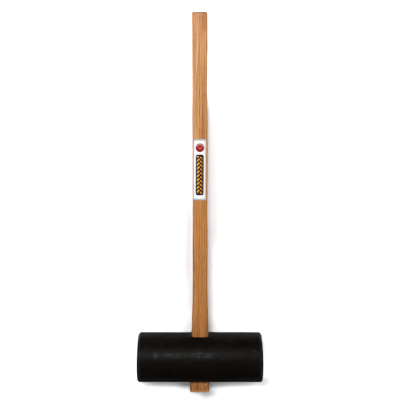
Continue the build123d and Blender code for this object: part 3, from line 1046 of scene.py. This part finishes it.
    # a pale arc over the upper half of the disc: painted highlight
    arc = t.mul(t.mul(t.step(r, 6.7, 7.1), t.step(r, 8.9, 8.5)), t.step(dz, 0.5, 3.0))
    color = t.mix(t.mul(arc, 0.62), color, lin(226, 176, 170))
    ex = t.mul(u, 1 / 5.0)
    ez = t.mul(t.add(dz, 1.2), 1 / 2.9)
    oval = t.m("SQRT", t.add(t.mul(ex, ex), t.mul(ez, ez)))
    color = t.mix(t.step(oval, 1.15, 0.6, 0.0, 0.55), color, lin(206, 110, 96))

    # wear: rubbed ink, fine scratches, a little grime at the edges
    rub = t.noise(t.vm("MULTIPLY", p, (0.55, 0.55, 0.14)), 1.0, 5.0, 0.7)
    color = t.mix(t.step(rub, 0.66, 0.78, 0.0, 0.22), color, lin(222, 220, 218))
    gr = t.noise(t.vm("MULTIPLY", p, (0.2, 0.2, 0.09)), 1.0, 4.0, 0.6)
    edge_u = t.step(t.m("ABSOLUTE", u), 13.2, 14.7)
    color = t.mix(t.mul(t.step(gr, 0.45, 0.7), t.add(t.mul(edge_u, 0.35), 0.06)), color, lin(168, 150, 130))
    height = t.add(t.mul(ink, 0.3), t.mul(rub, 0.5))
    normal = t.bump(height, 0.00006, 0.5)
    t.principled(**{"Base Color": color, "Roughness": t.add(0.34, t.mul(rub, 0.18)), "Normal": normal,
                    "Specular IOR Level": 0.16, "Coat Weight": 0.04, "Coat Roughness": 0.22})
    return t.mat


handle = build_handle()
head = build_head()
label = build_label()
handle.data.materials.append(wood_material())
head.data.materials.append(rubber_material())
label.data.materials.append(label_material())
for piece, node, body, slot in (
    (handle, "handle", "handle_body", "handle_wood"),
    (head, "rubber_head", "head_body", "head_rubber"),
    (label, "handle_label", "handle_body", "label_film"),
):
    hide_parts(node)
    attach(piece, body)


# ------------------------------------------------------------------ stage
CAMERA_AT = (0.0, -1.785, 0.858)
scene = bpy.context.scene
scene.view_settings.view_transform = "Standard"
scene.view_settings.look = "None"
scene.view_settings.exposure = 0.0
scene.view_settings.gamma = 1.0


def stage_material(name, shown_from_front_only, gain, glow):
    """White stage. The backdrop shows only to the front camera, the floor to every other view."""
    t = Nodes(name)
    geo = t.new("ShaderNodeNewGeometry")
    cam = t.new("ShaderNodeCameraData")
    dist = cam.outputs["View Distance"]
    eye = t.vm("ADD", geo.outputs["Position"], t.vm("MULTIPLY", geo.outputs["Incoming"], t.vec(dist, dist, dist)))
    away = t.vm("DISTANCE", eye, CAMERA_AT)
    front = t.m("LESS_THAN", away, 0.01)
    grain = t.noise(geo.outputs["Position"], 3.0, 2.0)
    color = t.ramp(grain, [(0.3, (gain * 0.974, gain * 0.988, gain * 0.998, 1)), (0.7, (gain * 0.986, gain, gain * 1.01, 1))])
    if shown_from_front_only:
        # the sheet is painted in grades of light: brightest behind the grip, a little greyer behind the lower handle
        height = t.split(geo.outputs["Position"])[2]
        painted_light_and_shade = t.sub(1.0, t.mul(t.mul(t.step(height, 0.14, 0.20), t.step(height, 0.72, 0.68)), 0.25))
        painted_light_and_shade = t.add(painted_light_and_shade, t.step(height, 0.67, 0.71, 0.0, 0.40))
        # painted light: the sheet is brighter right of the head's end, low down
        across = t.split(geo.outputs["Position"])[0]
        painted_light_and_shade = t.add(painted_light_and_shade, t.mul(t.step(across, 0.075, 0.150, 0.0, 0.22), t.step(height, 0.16, 0.10)))
        # and a painted pool of shade where the butt, the head and the sheet nearly touch
        px = t.mul(across, 1 / 0.095)
        pz = t.mul(t.add(height, 0.016), 1 / 0.016)
        painted_shade_pool = t.m("SQRT", t.add(t.mul(px, px), t.mul(pz, pz)))
        painted_light_and_shade = t.mul(painted_light_and_shade, t.step(painted_shade_pool, 0.10, 1.0, 0.42, 1.0))
        # the handle's own soft shadow, deepest right beside it, wider up the handle than near the head
        near_head = t.step(height, 0.29, 0.21)
        far_up = t.sub(1.0, near_head)
        beside = t.add(t.step(height, 0.46, 0.34, 0.12, 0.18), t.step(height, 0.50, 0.62, 0.0, -0.04))
        beyond = t.step(height, 0.31, 0.37, 0.10, 0.26)
        tail = t.step(across, 0.021, 0.035)
        right = t.add(t.mul(beside, t.sub(1.0, tail)), t.mul(beyond, tail))
        right = t.mul(t.mul(right, far_up), t.step(across, 0.062, 0.040))
        right = t.add(right, t.mul(t.step(across, 0.036, 0.016, 0.0, 0.20), near_head))
        right = t.mul(t.mul(right, t.step(height, 0.71, 0.62)), t.step(across, 0.0, 0.004))
        gap = t.mul(across, -1.0)
        left = t.add(t.mul(t.step(gap, 0.056, 0.041, 0.0, 0.20), far_up), t.mul(t.step(gap, 0.031, 0.019, 0.0, 0.17), near_head))
        left = t.mul(t.mul(left, t.step(height, 0.49, 0.39)), t.step(gap, 0.018, 0.023))
        painted_light_and_shade = t.mul(painted_light_and_shade, t.sub(1.0, t.add(left, right)))
        color = t.vm("MULTIPLY", color, t.vec(painted_light_and_shade, painted_light_and_shade, painted_light_and_shade))
    diffuse = t.new("ShaderNodeBsdfDiffuse")
    t.put(diffuse.inputs["Color"], color)
    shine = t.new("ShaderNodeEmission")
    shine.inputs["Strength"].default_value = glow
    lit = t.new("ShaderNodeAddShader")
    t.tree.links.new(diffuse.outputs[0], lit.inputs[0])
    t.tree.links.new(shine.outputs[0], lit.inputs[1])
    clear = t.new("ShaderNodeBsdfTransparent")
    mix = t.new("ShaderNodeMixShader")
    is_cam = t.new("ShaderNodeLightPath").outputs["Is Camera Ray"]
    if shown_from_front_only:
        show = t.mul(front, is_cam)
    else:
        show = t.m("SUBTRACT", 1.0, t.mul(front, is_cam))
        # the floor reads paler than the light it gives back
        t.put(shine.inputs["Strength"], t.add(t.mul(is_cam, 0.20), glow))
    t.put(mix.inputs[0], show)
    t.tree.links.new(clear.outputs[0], mix.inputs[1])
    t.tree.links.new(lit.outputs[0], mix.inputs[2])
    t.tree.links.new(mix.outputs[0], t.out.inputs["Surface"])
    return t.mat


def plane(name, corners):
    mesh = bpy.data.meshes.new(name)
    mesh.from_pydata(corners, [], [(0, 1, 2, 3)])
    mesh.update()
    obj = bpy.data.objects.new(name, mesh)
    scene.collection.objects.link(obj)
    return obj


floor = plane("floor", [(-8, -8, 0), (8, -8, 0), (8, 8, 0), (-8, 8, 0)])
floor.data.materials.append(stage_material("floor_white", False, 0.9, 0.18))
# the surface the maul lies against, touching the head's back and the back of the grip
slope = (0.0145 - 0.0565) / (0.9144 - 0.0794)


def back_y(z):
    return 0.0565 + slope * (z - 0.0794)


backdrop = plane("backdrop", [(-3, back_y(-1.5), -1.5), (3, back_y(-1.5), -1.5), (3, back_y(3.0), 3.0), (-3, back_y(3.0), 3.0)])
backdrop.data.materials.append(stage_material("backdrop_white", True, 1.74, 0.0))
floor.visible_shadow = False
floor.visible_glossy = False
backdrop.visible_diffuse = False
backdrop.visible_glossy = False
backdrop.visible_transmission = False
backdrop.visible_shadow = False


def area(name, at, look, size_x, size_y, watts, color=(1, 1, 1)):
    data = bpy.data.lights.new(name, "AREA")
    data.shape = "RECTANGLE"
    data.size, data.size_y = size_x, size_y
    data.energy = watts
    data.color = color
    obj = bpy.data.objects.new(name, data)
    scene.collection.objects.link(obj)
    obj.location = at
    obj.rotation_mode = "QUATERNION"
    obj.rotation_quaternion = (Vector(look) - Vector(at)).to_track_quat("-Z", "Y")
    return obj


only_maul = bpy.data.collections.new("maul_only")
for piece in (handle, head, label):
    only_maul.objects.link(piece)
only_stage = bpy.data.collections.new("stage_only")
for piece in (floor, backdrop):
    only_stage.objects.link(piece)


def lights_only(light, group):
    light.light_linking.receiver_collection = group
    return light


# the stage's own lamps: a long low strip for a soft shadow to the right of the
# handle and a short one under the head, and a weak one from the other side
key = lights_only(area("key", (-0.52, -1.75, 1.07), (0.0, 0.0, 0.30), 1.04, 0.2, 15.5), only_stage)
key_near = lights_only(area("key_near", (-0.27, -1.75, 1.07), (0.0, 0.0, 0.30), 0.32, 0.2, 7.0), only_stage)
side_key = lights_only(area("side_key", (0.6, -1.7, 0.95), (0.0, 0.0, 0.25), 0.45, 0.3, 8.0), only_stage)
# the maul's lamps
maul_key = lights_only(area("maul_key", (-0.34, -1.75, 1.24), (0.0, 0.0, 0.30), 0.75, 0.3, 27.0), only_maul)
front = lights_only(area("front_fill", (0.3, -2.6, 2.1), (0.0, 0.0, 0.45), 2.2, 1.6, 6.0), only_maul)
right = lights_only(area("right_fill", (2.2, -0.7, 0.9), (0.0, 0.0, 0.45), 1.6, 1.6, 3.0), only_maul)
left = lights_only(area("left_fill", (-2.2, 0.3, 1.1), (0.0, 0.0, 0.45), 1.6, 1.6, 5.0), only_maul)
back = lights_only(area("back_fill", (0.4, 2.4, 1.6), (0.0, 0.0, 0.45), 2.2, 1.6, 26.0), only_maul)
for light in (front, right, back):
    light.visible_glossy = False
# low white cards behind: only the sheen along the head's upper edge sees them
for side in (-1, 1):
    card = lights_only(area("sheen_card", (side * 1.10, 1.4, 0.70), (side * 0.3, 0.0, 0.1), 1.5, 1.8, 23.0), only_maul)
    card.visible_diffuse = False

world = bpy.data.worlds.new("white_room")
scene.world = world
world.use_nodes = True
wt = world.node_tree
wt.nodes.clear()
w_out = wt.nodes.new("ShaderNodeOutputWorld")
w_cam = wt.nodes.new("ShaderNodeBackground")
w_cam.inputs["Color"].default_value = (1, 1, 1, 1)
w_cam.inputs["Strength"].default_value = 1.0
w_env = wt.nodes.new("ShaderNodeBackground")
w_tc = wt.nodes.new("ShaderNodeTexCoord")
w_sep = wt.nodes.new("ShaderNodeSeparateXYZ")
w_map = wt.nodes.new("ShaderNodeMapRange")
w_map.interpolation_type = "SMOOTHSTEP"
w_map.inputs["From Min"].default_value = -0.35
w_map.inputs["From Max"].default_value = 0.75
w_map.inputs["To Min"].default_value = 0.10
w_map.inputs["To Max"].default_value = 0.20
w_mix = wt.nodes.new("ShaderNodeMixShader")
w_lp = wt.nodes.new("ShaderNodeLightPath")
wt.links.new(w_tc.outputs["Generated"], w_sep.inputs[0])
wt.links.new(w_sep.outputs[2], w_map.inputs["Value"])
w_env.inputs["Color"].default_value = (1.0, 1.0, 1.0, 1)
wt.links.new(w_map.outputs[0], w_env.inputs["Strength"])
wt.links.new(w_lp.outputs["Is Camera Ray"], w_mix.inputs[0])
wt.links.new(w_env.outputs[0], w_mix.inputs[1])
wt.links.new(w_cam.outputs[0], w_mix.inputs[2])
wt.links.new(w_mix.outputs[0], w_out.inputs["Surface"])
world.cycles_visibility.glossy = False

cam_data = bpy.data.cameras.new("camera")
cam = bpy.data.objects.new("camera", cam_data)
scene.collection.objects.link(cam)
cam.location = CAMERA_AT
cam.rotation_mode = "XYZ"
cam.rotation_euler = (math.radians(90), 0, 0)
cam_data.sensor_fit = "HORIZONTAL"
cam_data.sensor_width = 36.0
cam_data.lens = 66.33
cam_data.clip_start, cam_data.clip_end = 0.05, 50.0
scene.camera = cam
# a lens shifted downwards, for the front camera only: any other camera place is centred
drv = cam_data.driver_add("shift_y").driver
drv.type = "SCRIPTED"
for axis in "xyz":
    var = drv.variables.new()
    var.name = "c" + axis
    var.type = "SINGLE_PROP"
    var.targets[0].id_type = "OBJECT"
    var.targets[0].id = cam
    var.targets[0].data_path = "location." + axis
drv.expression = "-0.41175 if abs(cx) < 0.001 and abs(cy + 1.785) < 0.001 and abs(cz - 0.858) < 0.001 else 0.0"
